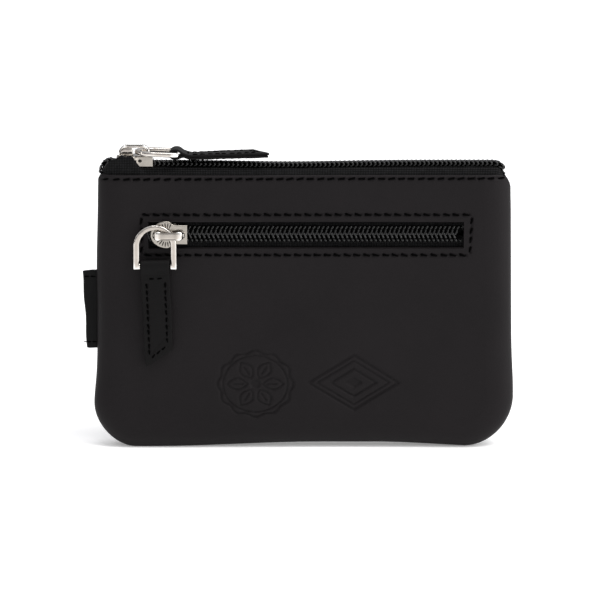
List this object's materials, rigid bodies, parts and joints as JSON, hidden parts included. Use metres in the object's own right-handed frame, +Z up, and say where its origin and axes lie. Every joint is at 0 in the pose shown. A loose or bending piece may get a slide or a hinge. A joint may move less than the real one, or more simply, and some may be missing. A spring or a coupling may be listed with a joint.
{
  "type": "coin purse",
  "caption": "Flat rectangular leather coin purse with a zipped mouth along the top, a zipped front pocket, ring pulls with leather tabs and a small side loop.",
  "frame": {"origin": "bottom centre of the whole object: the middle of its extents along X and Y, on the surface it stands on", "axes": "+X along the purse to its right, seen from the front; +Y from the front, with the pocket zip, to the back; +Z up towards the zipped mouth"},
  "size_m": [0.1328, 0.0188, 0.0935],
  "materials": {
    "leather": "smooth, low sheen, fine grain",
    "pull_leather": "smooth, low sheen, cut edges",
    "lining_cloth": "plain woven, matt",
    "zip_tape": "woven tape, matt",
    "zip_coil": "moulded coil, satin gloss",
    "nickel": "polished nickel plate",
    "thread": "twisted thread, slight sheen"
  },
  "bodies": {
    "front_shell": {"front_panel": "leather", "pocket_divider": "lining_cloth", "pocket_lining": "lining_cloth", "main_zip_front_tape": "zip_tape", "main_zip_front_coil": "zip_coil", "main_zip_left_tail": "zip_tape", "main_zip_right_tail": "zip_tape", "pocket_zip_upper_tape": "zip_tape", "pocket_zip_upper_coil": "zip_coil", "side_loop_anchor": "leather", "front_top_edge_stitching": "thread", "pocket_window_stitching": "thread", "perimeter_seam_stitching": "thread"},
    "back_shell": {"back_panel": "leather", "back_lining": "lining_cloth", "main_zip_rear_tape": "zip_tape", "main_zip_rear_coil": "zip_coil", "back_top_edge_stitching": "thread"},
    "main_slider": {"main_slider_body": "nickel", "main_slider_crown": "nickel"},
    "main_ring": {"main_pull_ring": "nickel"},
    "main_tab": {"main_pull_tab": "pull_leather", "main_pull_tab_stitching": "thread"},
    "pocket_zip_lower": {"pocket_zip_lower_tape": "zip_tape", "pocket_zip_lower_coil": "zip_coil"},
    "pocket_slider": {"pocket_slider_body": "nickel", "pocket_slider_crown": "nickel"},
    "pocket_ring": {"pocket_pull_ring": "nickel"},
    "pocket_tab": {"pocket_pull_tab": "pull_leather", "pocket_pull_tab_stitching": "thread"},
    "side_loop": {"side_loop": "leather", "side_loop_stitching": "thread"}
  },
  "joints": [
    {"name": "main_zip_slide", "type": "slide", "parent": "front_shell", "child": "main_slider", "axis": [1, 0, 0], "range_m": [0, 0.104], "deforming": ["main_zip_front_tape", "main_zip_rear_tape", "main_zip_front_coil", "main_zip_rear_coil"]},
    {"name": "mouth_open", "type": "hinge", "parent": "front_shell", "child": "back_shell", "pos_m": [0.00161, 0.00245, -0.00036], "axis": [-1, 0, 0], "range_deg": [0, 10]},
    {"name": "main_ring_swing", "type": "hinge", "parent": "main_slider", "child": "main_ring", "pos_m": [-0.04999, 0.00245, 0.09159], "axis": [0, -1, 0], "range_deg": [0, 150]},
    {"name": "main_tab_swing", "type": "hinge", "parent": "main_ring", "child": "main_tab", "pos_m": [-0.0381, 0.00245, 0.09109], "axis": [0, -1, 0], "range_deg": [-2, 40]},
    {"name": "pocket_zip_slide", "type": "slide", "parent": "front_shell", "child": "pocket_slider", "axis": [1, 0, 0], "range_m": [0, 0.083], "deforming": ["pocket_zip_upper_tape", "pocket_zip_lower_tape", "pocket_zip_upper_coil", "pocket_zip_lower_coil"]},
    {"name": "pocket_zip_part", "type": "hinge", "parent": "front_shell", "child": "pocket_zip_lower", "pos_m": [0.00161, -0.0027, 0.06159], "axis": [-1, 0, 0], "range_deg": [0, 25]},
    {"name": "pocket_ring_swing", "type": "hinge", "parent": "pocket_slider", "child": "pocket_ring", "pos_m": [-0.03939, -0.0075, 0.06719], "axis": [-0.6018, 0, 0.7986], "range_deg": [0, 130]},
    {"name": "pocket_tab_swing", "type": "hinge", "parent": "pocket_ring", "child": "pocket_tab", "pos_m": [-0.04422, -0.0075, 0.0577], "axis": [-1, 0, 0], "range_deg": [0, 50]},
    {"name": "side_loop_flex", "type": "hinge", "parent": "front_shell", "child": "side_loop", "pos_m": [-0.06399, 0.00245, 0.04279], "axis": [0, 0, 1], "range_deg": [-40, 40], "stiffness_Nm_per_rad": 0.002}
  ],
  "couplings": [
    {"joint": "mouth_open", "follows": "main_zip_slide", "rad_per_m": 1.678},
    {"joint": "pocket_zip_part", "follows": "pocket_zip_slide", "rad_per_m": 5.2565}
  ]
}
